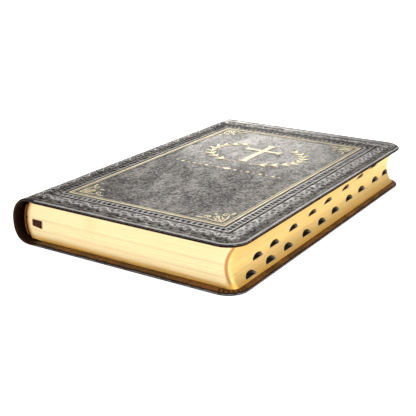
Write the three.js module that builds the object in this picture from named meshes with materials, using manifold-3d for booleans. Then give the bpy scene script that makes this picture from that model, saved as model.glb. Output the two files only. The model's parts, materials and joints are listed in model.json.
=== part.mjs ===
// A thin bound book with soft leather covers, gilt page edges, a cut thumb index and a ribbon.
// Millimetres, +Z up. The book lies closed on its back cover. The origin is the centre of the
// underside, +X runs from the spine to the fore edge, and +Y runs from the tail to the head.
import * as THREE from "three";
import { mergeVertices } from "three/addons/utils/BufferGeometryUtils.js";
import Module from "manifold-3d";

const wasm = await Module();
wasm.setup();

// Driving dimensions
const HEIGHT = 216;
const WIDTH = 145;
const THICKNESS = 27;
const COVER_THICKNESS = 2.1;
const COVER_CORNER_RADIUS = 12;
const HINGE_X = -60;
const HINGE_GAP = 0.15;

const PAGE_HEIGHT = 206.8;
const PAGE_CORNER_RADIUS = 5;
const PAGE_GAP = 0.05;
const BLOCK_BOTTOM = 2.45;
const BACK_X = -66.1;
const BACK_ROUNDING = 3.1;
const FORE_X = 64.6;
const FORE_HOLLOW = 3.9;
const BLOCK_MIDDLE_Z = 12.9;
const BLOCK_HALF_THICKNESS = 10.4;

// The top of each page section, front to back. A thumb cut lies on every top but the first.
const SECTION_TOPS = [
  24.4, 21.2, 19.2, 17.2, 15.3, 13.9, 12.6, 11.1, 9.4, 8.7,
  8.3, 8.0, 7.7, 7.3, 5.9, 4.9, 4.4, 4.0, 3.6, 3.2,
];
const UPPER_CUTS_Y = [92, 71, 52, 32, 8, -12, -35, -57, -75];
const LOWER_CUTS_Y = [95, 78, 56, 37, 16, -3, -23, -45, -65, -86];
const CUT_DEPTH = 5.2;
const CUT_HALF_WIDTH = 5.3;
const CUT_HEIGHT = 3.2;
const CUT_SHIFT = 0.3;
const TAB_THICKNESS = 0.12;
const TAB_INSET = 0.7;
const TAB_LIFT = 0.02;

// The book opens in the middle below this section, where the ribbon and three leaves lie.
const FIRST_SECTION_OF_REAR_HALF = 5;
const OPENING_TOP = 14.85;
const RIBBON_Z = 13.6;
const LEAF_COUNT = 3;
const LEAF_THICKNESS = 0.25;
const LEAF_PITCH = 0.3;
const LEAF_Z = 13.95;
const LEAF_START_X = -65.2;
const FLYLEAF_THICKNESS = 0.2;
const FLYLEAF_START_X = -58.5;

const RIBBON_WIDTH = 6;
const RIBBON_THICKNESS = 0.2;
const RIBBON_X = -58.5;
const RIBBON_CLEARANCE = 0.15;
const RIBBON_TAIL_TOP = 13.85;
const RIBBON_TAIL_LENGTH = 4.4;
const RIBBON_TAIL_SLANT = 1.6;
const RIBBON_TAIL_DRIFT = 0.5;

const LEATHER_THICKNESS = 0.7;
const BOARD_THICKNESS = 0.8;
const POCKET_CLEARANCE = 0.05;
const TURN_IN_WIDTH = 14;
const WINDOW_RADIUS = 2;
const PASTEDOWN_CLEARANCE = 0.15;
const BOARD_INSET = 2.2;
const SPINE_REACH = 12.5;
const SPINE_LOW_Z = 0.3;
const SPINE_HIGH_Z = 26.8;
const SPINE_LEATHER = 1.2;
const SPINE_INLAY = 0.4;
const UPPER_ROUNDNESS = 2.1;
const LOWER_ROUNDNESS = 2.5;

const LEATHER = new THREE.Color(0x5f5955);
const BOARD = new THREE.Color(0x8b8378);
const ENDPAPER = new THREE.Color(0xe9e2d2);
const GILT = new THREE.Color(0xe8c878);
const INK = new THREE.Color(0x191614);
const RIBBON = new THREE.Color(0x5a2319);
const CLOTH = new THREE.Color(0x4a2c1c);

const book = new THREE.Group();

function addPiece(name, geometry, color, roughness = 0.6, metalness = 0) {
  const material = new THREE.MeshStandardMaterial({ color, roughness, metalness });
  const mesh = new THREE.Mesh(geometry, material);
  mesh.name = name;
  book.add(mesh);
}

function closedSolid(geometry) {
  const bare = geometry.clone();
  bare.deleteAttribute("normal");
  bare.deleteAttribute("uv");
  const merged = mergeVertices(bare);
  const mesh = new wasm.Mesh({
    numProp: 3,
    vertProperties: new Float32Array(merged.attributes.position.array),
    triVerts: new Uint32Array(merged.index.array),
  });
  return new wasm.Manifold(mesh);
}

function solidGeometry(solid) {
  const mesh = solid.getMesh();
  const geometry = new THREE.BufferGeometry();
  geometry.setAttribute("position", new THREE.BufferAttribute(mesh.vertProperties, 3));
  geometry.setIndex(new THREE.BufferAttribute(mesh.triVerts, 1));
  return geometry;
}

function cut(geometry, tools) {
  let solid = closedSolid(geometry);
  for (const tool of tools) {
    solid = solid.subtract(closedSolid(tool));
  }
  return solidGeometry(solid);
}

// A sheet outline between x0 and x1, with only its two fore corners rounded.
function sheetOutline(x0, x1, halfHeight, radius) {
  const shape = new THREE.Shape();
  shape.moveTo(x0, -halfHeight);
  shape.lineTo(x1 - radius, -halfHeight);
  shape.absarc(x1 - radius, -halfHeight + radius, radius, -Math.PI / 2, 0, false);
  shape.lineTo(x1, halfHeight - radius);
  shape.absarc(x1 - radius, halfHeight - radius, radius, 0, Math.PI / 2, false);
  shape.lineTo(x0, halfHeight);
  shape.closePath();
  return shape;
}

function raise(shape, z0, z1, steps = 1, curveSegments = 5) {
  const geometry = new THREE.ExtrudeGeometry(shape, {
    depth: z1 - z0, steps, curveSegments, bevelEnabled: false,
  });
  return geometry.translate(0, 0, z0);
}

// Extrudes an outline of x and z points along Y.
function alongY(points, y0, y1) {
  const geometry = new THREE.ExtrudeGeometry(new THREE.Shape(points), {
    depth: y1 - y0, steps: 1, bevelEnabled: false,
  });
  return geometry.rotateX(Math.PI / 2).translate(0, y1, 0);
}

function rounding(z, exponent) {
  return Math.abs((z - BLOCK_MIDDLE_Z) / BLOCK_HALF_THICKNESS) ** exponent;
}

const backX = (z) => BACK_X + BACK_ROUNDING * rounding(z, 2.5);
const foreX = (z) => FORE_X + FORE_HOLLOW * rounding(z, 2);

// A slab of pages whose back is rounded and whose fore edge is hollow.
function pageSlab(z0, z1, startX = null) {
  const radius = PAGE_CORNER_RADIUS;
  const outline = sheetOutline(BACK_X, FORE_X, PAGE_HEIGHT / 2, radius);
  const steps = Math.max(1, Math.round((z1 - z0) / 0.9));
  const geometry = raise(outline, z0, z1, steps, 4);
  const position = geometry.attributes.position;
  for (let i = 0; i < position.count; i++) {
    const x = position.getX(i);
    const z = position.getZ(i);
    const shifted = x > 0 ? x - FORE_X + foreX(z) : startX ?? backX(z);
    position.setX(i, shifted);
  }
  return geometry;
}

const cutsY = [...UPPER_CUTS_Y, ...LOWER_CUTS_Y];
const thumbCuts = cutsY.map((y, i) => ({ y, z: SECTION_TOPS[i + 1] }));

function thumbScoop({ y, z }) {
  const scoop = new THREE.SphereGeometry(1, 20, 10).rotateX(Math.PI / 2);
  return scoop.scale(CUT_DEPTH, CUT_HALF_WIDTH, CUT_HEIGHT).translate(foreX(z) + CUT_SHIFT, y, z);
}

// Each thumb cut goes through all the pages just above the leaf that carries its tab.
function withThumbCuts(geometry, z0, z1) {
  const reached = thumbCuts.filter(({ z }) => z < z0 + PAGE_GAP && z + CUT_HEIGHT > z0 + PAGE_GAP / 2);
  return cut(geometry, reached.map(thumbScoop));
}

// The ribbon is glued to the back under the head band, and lies along the spine side of a leaf.
function ribbonOutline(margin) {
  const half = RIBBON_WIDTH / 2 + margin;
  const exitY = -PAGE_HEIGHT / 2 - 0.1 - margin;
  const headY = PAGE_HEIGHT / 2 - 0.4 + margin;
  return new THREE.Shape([
    new THREE.Vector2(RIBBON_X - half, exitY),
    new THREE.Vector2(RIBBON_X + half, exitY),
    new THREE.Vector2(RIBBON_X + half, headY - 14),
    new THREE.Vector2(BACK_X + 2.5 + margin, headY),
    new THREE.Vector2(BACK_X + 0.3 - margin, headY),
    new THREE.Vector2(RIBBON_X - half, headY - 18),
  ]);
}

// The leaves under the ribbon are pressed in by its thickness.
function ribbonBed() {
  const low = RIBBON_Z - PAGE_GAP;
  return raise(ribbonOutline(RIBBON_CLEARANCE), low, low + 1);
}

function addPageSections() {
  SECTION_TOPS.forEach((top, i) => {
    const below = SECTION_TOPS[i + 1] ?? BLOCK_BOTTOM - PAGE_GAP;
    const bottom = i === FIRST_SECTION_OF_REAR_HALF - 1 ? OPENING_TOP : below + PAGE_GAP;
    const name = `page_section_${String(i + 1).padStart(2, "0")}`;
    const section = withThumbCuts(pageSlab(bottom, top), bottom, top);
    const underRibbon = i === FIRST_SECTION_OF_REAR_HALF;
    addPiece(name, underRibbon ? cut(section, [ribbonBed()]) : section, GILT, 0.35, 0.6);
  });
}

function addIndexTabs() {
  thumbCuts.forEach(({ y, z }, i) => {
    const shape = new THREE.Shape();
    const reach = CUT_DEPTH - TAB_INSET;
    const half = CUT_HALF_WIDTH - TAB_INSET;
    shape.absellipse(0, 0, reach, half, Math.PI / 2, 1.5 * Math.PI, false, 0);
    shape.closePath();
    const low = z + TAB_LIFT;
    const tab = raise(shape, low, low + TAB_THICKNESS, 1, 8).translate(foreX(z) - TAB_INSET / 2, y, 0);
    addPiece(`index_tab_${String(i + 1).padStart(2, "0")}`, tab, INK, 0.7);
  });
}

function addLooseLeaves() {
  for (let i = 0; i < LEAF_COUNT; i++) {
    const z0 = LEAF_Z + i * LEAF_PITCH;
    const z1 = z0 + LEAF_THICKNESS;
    const leaf = withThumbCuts(pageSlab(z0, z1, LEAF_START_X), z0, z1);
    addPiece(`turning_leaf_${i + 1}`, leaf, ENDPAPER);
  }
  const front = SECTION_TOPS[0] + PAGE_GAP;
  addPiece("front_flyleaf", pageSlab(front, front + FLYLEAF_THICKNESS, FLYLEAF_START_X), ENDPAPER);
  const back = BLOCK_BOTTOM - PAGE_GAP;
  addPiece("back_flyleaf", pageSlab(back - FLYLEAF_THICKNESS, back, FLYLEAF_START_X), ENDPAPER);
}

function addRibbon() {
  const marker = raise(ribbonOutline(0), RIBBON_Z, RIBBON_Z + RIBBON_THICKNESS);
  addPiece("ribbon_marker", marker, RIBBON, 0.4);

  const half = RIBBON_WIDTH / 2;
  const low = RIBBON_TAIL_TOP - RIBBON_TAIL_LENGTH;
  const tail = [
    new THREE.Vector2(RIBBON_X - half, RIBBON_TAIL_TOP),
    new THREE.Vector2(RIBBON_X - half + RIBBON_TAIL_DRIFT, low + RIBBON_TAIL_SLANT),
    new THREE.Vector2(RIBBON_X + half + RIBBON_TAIL_DRIFT, low),
    new THREE.Vector2(RIBBON_X + half, RIBBON_TAIL_TOP),
  ];
  const nearY = -PAGE_HEIGHT / 2 - 0.25;
  addPiece("ribbon_tail", alongY(tail, nearY - RIBBON_THICKNESS, nearY), RIBBON, 0.4);
}

// A cover is leather turned in round a thin board, with a pastedown in the window it leaves.
function addCover(side, outerZ, inward) {
  const level = (depth) => outerZ + inward * depth;
  const span = (shape, from, to) => {
    const ends = [level(from), level(to)];
    return raise(shape, Math.min(...ends), Math.max(...ends));
  };
  const x0 = HINGE_X + HINGE_GAP;
  const pocketDepth = LEATHER_THICKNESS + BOARD_THICKNESS + 2 * POCKET_CLEARANCE;
  const inset = BOARD_INSET - 2 * POCKET_CLEARANCE;
  const panel = (margin, radius) =>
    sheetOutline(x0 + margin, WIDTH / 2 - margin, HEIGHT / 2 - margin, radius);

  const plate = span(panel(0, COVER_CORNER_RADIUS), 0, COVER_THICKNESS);
  const pocket = span(panel(inset, COVER_CORNER_RADIUS - inset), LEATHER_THICKNESS, pocketDepth);
  const window = span(panel(TURN_IN_WIDTH, WINDOW_RADIUS), pocketDepth - 0.1, COVER_THICKNESS + 1);
  addPiece(`${side}_cover_leather`, cut(plate, [pocket, window]), LEATHER, 0.55);

  const boardFrom = LEATHER_THICKNESS + POCKET_CLEARANCE;
  const boardOutline = panel(BOARD_INSET, COVER_CORNER_RADIUS - BOARD_INSET);
  const board = span(boardOutline, boardFrom, boardFrom + BOARD_THICKNESS);
  addPiece(`${side}_board`, board, BOARD, 0.9);

  const paperOutline = panel(TURN_IN_WIDTH + PASTEDOWN_CLEARANCE, WINDOW_RADIUS);
  const paper = span(paperOutline, pocketDepth + 0.05, COVER_THICKNESS - 0.02);
  addPiece(`${side}_pastedown`, paper, ENDPAPER, 0.8);
}

// Points on the rounded spine, from its top edge to its bottom edge, moved in by an inset.
function spineArc(inset, steps = 16) {
  const middle = (SPINE_LOW_Z + SPINE_HIGH_Z) / 2;
  const halfHeight = (SPINE_HIGH_Z - SPINE_LOW_Z) / 2 - inset;
  const points = [];
  for (let i = 0; i <= steps; i++) {
    const angle = Math.PI / 2 - (Math.PI * i) / steps;
    const power = 2 / (angle > 0 ? UPPER_ROUNDNESS : LOWER_ROUNDNESS);
    const across = Math.max(0, Math.cos(angle)) ** power;
    const up = Math.sign(Math.sin(angle)) * Math.abs(Math.sin(angle)) ** power;
    const start = HINGE_X - HINGE_GAP;
    const reach = WIDTH / 2 + start - inset;
    points.push(new THREE.Vector2(start - reach * across, middle + halfHeight * up));
  }
  return points;
}

function addSpineCover() {
  const band = (outer, inner, y) => alongY([...spineArc(outer), ...spineArc(inner).reverse()], -y, y);
  addPiece("spine_leather", band(0, SPINE_LEATHER, HEIGHT / 2), LEATHER, 0.55);
  const inlayOuter = SPINE_LEATHER + 0.1;
  addPiece("spine_inlay", band(inlayOuter, inlayOuter + SPINE_INLAY, HEIGHT / 2 - 4), BOARD, 0.9);
}

// A strip that follows the rounded back of the pages, between two distances behind it.
function backStrip(near, far, zLow, zHigh, y0, y1) {
  const steps = 10;
  const side = (distance) => Array.from({ length: steps + 1 }, (_, i) => {
    const z = zLow + ((zHigh - zLow) * i) / steps;
    return new THREE.Vector2(backX(z) - distance, z);
  });
  return alongY([...side(near), ...side(far).reverse()], y0, y1);
}

function addBackLinings() {
  const half = PAGE_HEIGHT / 2;
  addPiece("spine_mesh", backStrip(0.15, 0.4, 3.2, 23.8, 8 - half, half - 8), CLOTH, 0.9);
  addPiece("spine_lining", backStrip(0.5, 0.8, 3.6, 23.4, 4 - half, half - 4), BOARD, 0.9);
  addPiece("head_band", backStrip(-0.8, 1, 4, 23, half + 0.1, half + 1.3), CLOTH, 0.7);
  addPiece("tail_band", backStrip(-0.8, 1, 4, 23, -half - 1.3, -half - 0.1), CLOTH, 0.7);
}

addCover("back", 0, 1);
addCover("front", THICKNESS, -1);
addSpineCover();
addBackLinings();
addPageSections();
addIndexTabs();
addLooseLeaves();
addRibbon();

export default book;
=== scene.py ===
# A thin bound book with embossed soft leather covers, gold foil, gilt edges and a thumb index.
import json
import math

import bpy
import numpy as np
from mathutils import Matrix, Vector


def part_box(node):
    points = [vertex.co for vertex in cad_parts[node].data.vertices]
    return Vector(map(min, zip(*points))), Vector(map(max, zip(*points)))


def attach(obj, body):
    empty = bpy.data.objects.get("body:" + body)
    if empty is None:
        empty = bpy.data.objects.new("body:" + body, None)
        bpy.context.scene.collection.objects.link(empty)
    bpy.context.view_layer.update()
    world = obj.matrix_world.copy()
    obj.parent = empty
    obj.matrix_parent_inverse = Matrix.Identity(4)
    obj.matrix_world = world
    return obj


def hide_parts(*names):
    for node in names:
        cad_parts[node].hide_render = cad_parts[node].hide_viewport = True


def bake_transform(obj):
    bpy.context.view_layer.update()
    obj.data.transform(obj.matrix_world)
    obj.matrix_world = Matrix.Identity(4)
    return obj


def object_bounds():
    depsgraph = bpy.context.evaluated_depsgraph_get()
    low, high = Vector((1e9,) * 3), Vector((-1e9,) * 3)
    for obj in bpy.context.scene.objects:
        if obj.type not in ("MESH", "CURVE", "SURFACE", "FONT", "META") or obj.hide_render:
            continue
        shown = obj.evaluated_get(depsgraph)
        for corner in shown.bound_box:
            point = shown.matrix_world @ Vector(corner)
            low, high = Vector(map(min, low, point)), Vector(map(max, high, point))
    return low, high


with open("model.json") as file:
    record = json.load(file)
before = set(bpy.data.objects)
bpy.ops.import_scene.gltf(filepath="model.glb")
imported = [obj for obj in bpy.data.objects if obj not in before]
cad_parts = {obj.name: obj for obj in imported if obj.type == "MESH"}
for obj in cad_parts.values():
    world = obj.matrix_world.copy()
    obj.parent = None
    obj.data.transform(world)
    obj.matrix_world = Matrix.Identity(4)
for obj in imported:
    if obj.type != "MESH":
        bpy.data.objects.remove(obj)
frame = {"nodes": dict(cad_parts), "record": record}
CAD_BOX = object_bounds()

MM = 0.001

# ---------------------------------------------------------------- sizes, in millimetres


def box_mm(node):
    low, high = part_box(node)
    return np.array(low) / MM, np.array(high) / MM


LOW, HIGH = (np.array(corner) / MM for corner in CAD_BOX)
COVER_LOW, COVER_HIGH = box_mm("front_cover_leather")
COVER_T = COVER_HIGH[2] - COVER_LOW[2]
EDGE_R = COVER_T / 2
HALF_H = HIGH[1]
FORE = HIGH[0]
TOP = HIGH[2]
CORNER_R = 12
# The covers end at STRIP_X, the spine skin ends at SPINE_X, and the hinge strips lie between them
STRIP_X = COVER_LOW[0] + 4
SPINE_X = COVER_LOW[0] - 0.6
SPINE_T = 1.5
# The spine is half a superellipse, with one power in its front half and one in its back half
FRONT_POWER, BACK_POWER = 2.1, 2.5
GRID = 0.6

# The page block, as in the CAD: rounded at the back, hollow at the fore edge, round at the corners
PAGE_HALF = box_mm("page_section_01")[1][1]
BLOCK_MID_Z, BLOCK_HALF_T = 12.9, 10.4
BACK_X, BACK_ROUNDING, ROUNDING_POWER = -66.1, 3.1, 2.5
FORE_X, FORE_HOLLOW = 64.6, 3.9
PAGE_CORNER_R = 5
# The thumb cuts lie between two places along the fore edge, and between two depths inside it
CUTS_TAIL_Y, CUTS_HEAD_Y = -92.5, 99.8
CUT_START, CUT_END = 0.22, 8

# The gold frame, which the embossed border follows
FRAME_CENTRE = np.array([1.55, -1.7])
FRAME_HALF = np.array([50.45, 84.7])
# What the border holds, by its distance outside the gold frame
FRAME_GROOVE, ROW_GROOVE, OUTER_GROOVE = 1.3, 7.5, 16.4
INNER_CORD, OUTER_CORD, VINE_CORD = 2.6, 6.3, 8.5
PIT_ROW, PIT_ROW_HALF, PIT_PITCH = 4.5, 1.4, 3.4
VINE, VINE_HALF, VINE_BED_HALF, VINE_PERIOD = 12.1, 3.5, 4.0, 13.2
DOT_ROW, DOT_ROW_HALF, DOT_PITCH = 16.3, 0.8, 6.6
# What the cover's edge holds, by its distance inside the outline
EDGE_CORD, EDGE_GROOVE, SECOND_CORD, PLAIN_EDGE = 0.9, 2.2, 3.2, 3.8
# The tooling is darker beside the spine and at the head, as painted shade, and light in a strip along the
# head edge, as a painted highlight
DARK_SPINE_X, DARK_HEAD_Y, LIGHT_HEAD_Y = -51, 85, 100.5
# The panel inside the frame is darker towards the tail, as painted shade, from its first place to its last
PANEL_DARK_FROM, PANEL_DARK_RUN = 35, 50

# The rolled edge of a cover, by the angle from its middle towards the cover's outer face
EDGE_TURNS = np.radians([74, 58, 50, 45, 39, 33, 27, 21, 16, 6, -3, -20, -32, -50, -70, -90])
SEAM_TURN, SEAM_HALF_WIDTH = math.radians(33), math.radians(12.5)
SEAM_SPREAD, SEAM_DEPTH, STITCH_PITCH = 0.24, 0.28, 2.8
# Below this turn the front cover's edge is near black: edge dye and painted shade.
DYE_AND_SHADE_START = math.radians(10)
TURN_IN_START = math.radians(-50.5)
# A thin band of plain leather, toned darker, between the dyed parts of the back cover's edge.
LEATHER_LINE_FROM, LEATHER_LINE_TO, LEATHER_LINE_TONE = math.radians(-22), math.radians(5), -0.42
GATHERS, GATHER_DEPTH = 7, 0.22
# The turn-in ends in a small step round the pastedown
TURN_IN_WIDTH, WINDOW_R, STEP_BEVEL, STEP_DEPTH = 14.0, 2.0, 0.3, 0.45
# Material numbers on a cover: its leather, its turn-in and the dark dye on its edge, which is also painted
# shade on the edge's lower part
SKIN, TURN_IN, DYE_AND_SHADE = 0, 1, 2

# The gold ornament. Strips of foil that cross differ in height by a step
FOIL_T, FOIL_SINK, FOIL_STEP, FOIL_LEVELS = 0.1, 0.12, 0.004, 8
WREATH_Y, CROSS_Y, DIVIDER_Y = 35, 36, -1.5
WREATH_RX, WREATH_RY = 31, 21.5


# ---------------------------------------------------------------- node materials


class Nodes:
    """A material's node tree, with short calls for the nodes used here."""

    def __init__(self, name):
        self.material = bpy.data.materials.new(name)
        self.material.use_nodes = True
        self.tree = self.material.node_tree
        self.shader = self.tree.nodes["Principled BSDF"]
        self.coords = self.tree.nodes.new("ShaderNodeTexCoord")

    def feed(self, socket, value):
        if isinstance(value, bpy.types.NodeSocket):
            self.tree.links.new(value, socket)
        else:
            socket.default_value = value

    def set(self, **inputs):
        for name, value in inputs.items():
            self.feed(self.shader.inputs[name.replace("_", " ")], value)
        return self

    def math(self, operation, a, b=0.0, clamp=False):
        node = self.tree.nodes.new("ShaderNodeMath")
        node.operation = operation
        node.use_clamp = clamp
        self.feed(node.inputs[0], a)
        self.feed(node.inputs[1], b)
        return node.outputs[0]

    def split(self, vector):
        node = self.tree.nodes.new("ShaderNodeSeparateXYZ")
        self.feed(node.inputs[0], vector)
        return node.outputs

    def join(self, x, y, z):
        node = self.tree.nodes.new("ShaderNodeCombineXYZ")
        for socket, value in zip(node.inputs, (x, y, z)):
            self.feed(socket, value)
        return node.outputs[0]

    def place(self, scale=(1, 1, 1)):
        node = self.tree.nodes.new("ShaderNodeMapping")
        self.feed(node.inputs["Vector"], self.coords.outputs["Object"])
        node.inputs["Scale"].default_value = scale
        return node.outputs[0]

    def noise(self, scale, detail=3.0, stretch=(1, 1, 1), vector=None, distortion=0.0):
        node = self.tree.nodes.new("ShaderNodeTexNoise")
        self.feed(node.inputs["Vector"], vector or self.place(stretch))
        node.inputs["Scale"].default_value = scale
        node.inputs["Detail"].default_value = detail
        node.inputs["Distortion"].default_value = distortion
        return node.outputs["Fac"]

    def cells(self, scale, feature="F1", stretch=(1, 1, 1)):
        node = self.tree.nodes.new("ShaderNodeTexVoronoi")
        node.feature = feature
        self.feed(node.inputs["Vector"], self.place(stretch))
        node.inputs["Scale"].default_value = scale
        return node.outputs["Distance"]

    def ramp(self, value, low, high, to_low=0.0, to_high=1.0):
        node = self.tree.nodes.new("ShaderNodeMapRange")
        node.interpolation_type = "SMOOTHSTEP"
        for name, item in (("Value", value), ("From Min", low), ("From Max", high),
                           ("To Min", to_low), ("To Max", to_high)):
            self.feed(node.inputs[name], item)
        return node.outputs[0]

    def mix(self, factor, a, b, blend="MIX"):
        node = self.tree.nodes.new("ShaderNodeMix")
        node.data_type = "RGBA"
        node.blend_type = blend
        self.feed(node.inputs["Factor"], factor)
        for name, value in (("A", a), ("B", b)):
            socket = next(s for s in node.inputs if s.name == name and s.type == "RGBA")
            self.feed(socket, value if isinstance(value, bpy.types.NodeSocket) else (*value, 1))
        return next(s for s in node.outputs if s.type == "RGBA")

    def bump(self, height, distance, strength=1.0, under=None):
        node = self.tree.nodes.new("ShaderNodeBump")
        node.inputs["Strength"].default_value = strength
        node.inputs["Distance"].default_value = distance
        self.feed(node.inputs["Height"], height)
        if under is not None:
            self.feed(node.inputs["Normal"], under)
        return node.outputs[0]

    def attribute(self, name):
        node = self.tree.nodes.new("ShaderNodeAttribute")
        node.attribute_name = name
        return node.outputs["Fac"]


def leather_material():
    """Marbled grey-brown imitation leather, with painted shade in the tooling's recesses and painted
    highlights on its ridges.
    """
    n = Nodes("embossed_leather")
    cloud = n.noise(26, 6, (1, 0.6, 1), distortion=1.8)
    patch = n.noise(120, 8, (1, 0.6, 1), distortion=2.2)
    mottle = n.noise(800, 4)
    relief_shade_and_highlight = n.attribute("relief_shade_and_highlight")
    pores = n.cells(1000, "DISTANCE_TO_EDGE")
    base = n.mix(n.ramp(cloud, 0.40, 0.60), (0.050, 0.039, 0.032), (0.200, 0.175, 0.152))
    base = n.mix(n.ramp(patch, 0.50, 0.61, 0, 0.75), base, (0.022, 0.016, 0.012))
    base = n.mix(n.ramp(mottle, 0.52, 0.64, 0, 0.42), base, (0.46, 0.42, 0.38))
    base = n.mix(n.ramp(mottle, 0.49, 0.38, 0, 0.55), base, (0.013, 0.009, 0.006))
    # Painted shade: near black where the tone is low, in pits, grooves and seams. Painted highlight: near
    # white where it is high, on ridges, cords and rolled edges.
    base = n.mix(n.ramp(relief_shade_and_highlight, -0.05, -0.75, 0, 0.97), base, (0.003, 0.002, 0.002))
    base = n.mix(n.ramp(relief_shade_and_highlight, 0.1, 1.0, 0, 0.9), base, (0.78, 0.75, 0.72))
    normal = n.bump(pores, 0.0002, 0.6)
    normal = n.bump(mottle, 0.0004, 0.5, normal)
    normal = n.bump(patch, 0.0004, 0.4, normal)
    rough = n.ramp(n.noise(90, 5), 0.35, 0.65, 0.32, 0.38)
    for extra in (n.ramp(cloud, 0.52, 0.38, 0, 0.05), n.ramp(relief_shade_and_highlight, 0.0, -0.7, 0, 0.6),
                  n.ramp(mottle, 0.50, 0.38, 0, 0.25), n.ramp(patch, 0.50, 0.66, 0, 0.07)):
        rough = n.math("ADD", rough, extra)
    n.set(Base_Color=base, Roughness=n.math("MINIMUM", rough, 1.0), Normal=normal)
    return n.material


def lining_material(name, dark, light, shine, gathers):
    """Smooth leather on the inside of the covers and spine, with painted shade, dark and dull, in its
    gathers.
    """
    n = Nodes(name)
    grain = n.noise(1500, 4)
    scuffs = n.noise(420, 4, (1, 0.35, 1))
    tone = n.mix(n.ramp(n.noise(60, 4), 0.35, 0.65), dark, light)
    tone = n.mix(n.ramp(scuffs, 0.5, 0.7, 0, 0.8), tone, (0.012, 0.005, 0.003))
    # Painted shade in the gathers.
    gather = n.ramp(n.attribute("relief_shade_and_highlight"), 0, -0.8, 0, gathers)
    tone = n.mix(gather, tone, (0.003, 0.002, 0.002))
    rough = n.math("MAXIMUM", n.ramp(grain, 0.3, 0.7, 0.2, 0.34), gather)
    n.set(Base_Color=tone, Roughness=rough, Normal=n.bump(grain, 0.00006, 0.5),
          Specular_Tint=(1.0, 0.62, 0.26, 1), Specular_IOR_Level=shine)
    return n.material


def edge_dye_and_shade_material():
    """Matt dark dye that seals the raw edge of the leather, laid also over the lower part of the edge as
    painted shade.
    """
    n = Nodes("edge_dye_and_painted_shade")
    grain = n.noise(900, 4)
    tone = n.mix(n.ramp(grain, 0.35, 0.65), (0.006, 0.004, 0.004), (0.026, 0.016, 0.014))
    n.set(Base_Color=tone, Roughness=n.ramp(grain, 0.3, 0.7, 0.7, 0.9),
          Normal=n.bump(grain, 0.0001, 0.5), Specular_IOR_Level=0.0)
    return n.material


def part_way_up(n, z):
    """Height in the page block: -1 at its bottom, 0 in its middle and 1 at its top."""
    return n.math("DIVIDE", n.math("SUBTRACT", z, BLOCK_MID_Z * MM), BLOCK_HALF_T * MM)


def fore_depth(n, x, z):
    """How far a point lies inside the hollow fore edge, in metres."""
    up = part_way_up(n, z)
    hollow = n.math("MULTIPLY", n.math("MULTIPLY", up, up), FORE_HOLLOW * MM)
    return n.math("SUBTRACT", n.math("ADD", hollow, FORE_X * MM), x)


def back_depth(n, x, z):
    """How far a point lies inside the rounded back, in metres."""
    up = n.math("ABSOLUTE", part_way_up(n, z))
    back = n.math("MULTIPLY", n.math("POWER", up, ROUNDING_POWER), BACK_ROUNDING * MM)
    return n.math("SUBTRACT", x, n.math("ADD", back, BACK_X * MM))


def printed_paper(n, x, y):
    """Cream paper with two columns of plain ink dashes that stand for lines of print."""
    line_pitch, ink_share = 2.7 * MM, 0.46
    words_per_metre, gap_level = 480, 0.43
    gutter_x, gutter_half, text_reach, text_half = (size * MM for size in (1, 2.5, 53, 92))
    row = n.math("DIVIDE", y, line_pitch)
    in_line = n.math("LESS_THAN", n.math("FRACT", row), ink_share)
    place = n.join(n.math("MULTIPLY", x, words_per_metre), n.math("FLOOR", row), 0.5)
    word = n.math("GREATER_THAN", n.noise(1.0, 0, vector=place), gap_level)
    from_gutter = n.math("ABSOLUTE", n.math("SUBTRACT", x, gutter_x))
    in_column = n.math("MULTIPLY", n.math("GREATER_THAN", from_gutter, gutter_half),
                       n.math("LESS_THAN", from_gutter, text_reach))
    in_page = n.math("LESS_THAN", n.math("ABSOLUTE", y), text_half)
    ink = n.math("MULTIPLY", n.math("MULTIPLY", in_line, word), n.math("MULTIPLY", in_column, in_page))
    paper = n.mix(n.ramp(n.noise(900, 3), 0.3, 0.7), (0.80, 0.74, 0.62), (0.86, 0.81, 0.70))
    return n.mix(n.math("MULTIPLY", ink, 0.72), paper, (0.05, 0.045, 0.04))


def gilt(n, x, y, z, ny, depth, streaks):
    """Gold on the cut edges, browner near the back. Painted light: paler on the head and tail faces, painted
    shade in a band round the rounded corners, and an orange painted reflection of the turn-in low down.
    """
    line_angle = 0.85
    # Painted light: paler on the head and tail faces than on the fore edge.
    gold = n.mix(n.ramp(ny, 0.4, 0.9), (0.92, 0.62, 0.20), (0.93, 0.745, 0.41))
    gold = n.mix(n.ramp(streaks, 0.5, 0.78, 0, 0.18), gold, (0.70, 0.42, 0.12))
    gold = n.mix(n.ramp(n.noise(40, 3), 0.55, 0.75, 0, 0.25), gold, (0.78, 0.50, 0.16))
    # Painted shade in a band round the middle of each rounded corner.
    corner_x = n.math("ADD", n.math("MULTIPLY", depth, -1), PAGE_CORNER_R * MM)
    corner_y = n.math("SUBTRACT", n.math("ABSOLUTE", y), (PAGE_HALF - PAGE_CORNER_R) * MM)
    angle = n.math("ARCTAN2", n.math("MAXIMUM", corner_y, 0), n.math("MAXIMUM", corner_x, 1e-5))
    off_line = n.math("ABSOLUTE", n.math("SUBTRACT", angle, line_angle))
    gold = n.mix(n.ramp(off_line, 0.27, 0.07, 0, 0.9), gold, (0.50, 0.20, 0.035))
    # Painted reflection of the brown turn-in: orange low down on the edges.
    low = n.math("ADD", z, n.math("MULTIPLY", n.noise(1.0, 2, (35, 35, 400)), 1.5 * MM))
    gold = n.mix(n.ramp(low, 6.6 * MM, 3.2 * MM, 0, 0.9), gold, (1.0, 0.54, 0.07))
    return n.mix(n.ramp(back_depth(n, x, z), 3.2 * MM, 0.2 * MM, 0, 0.9), gold, (0.66, 0.27, 0.03))


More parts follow.
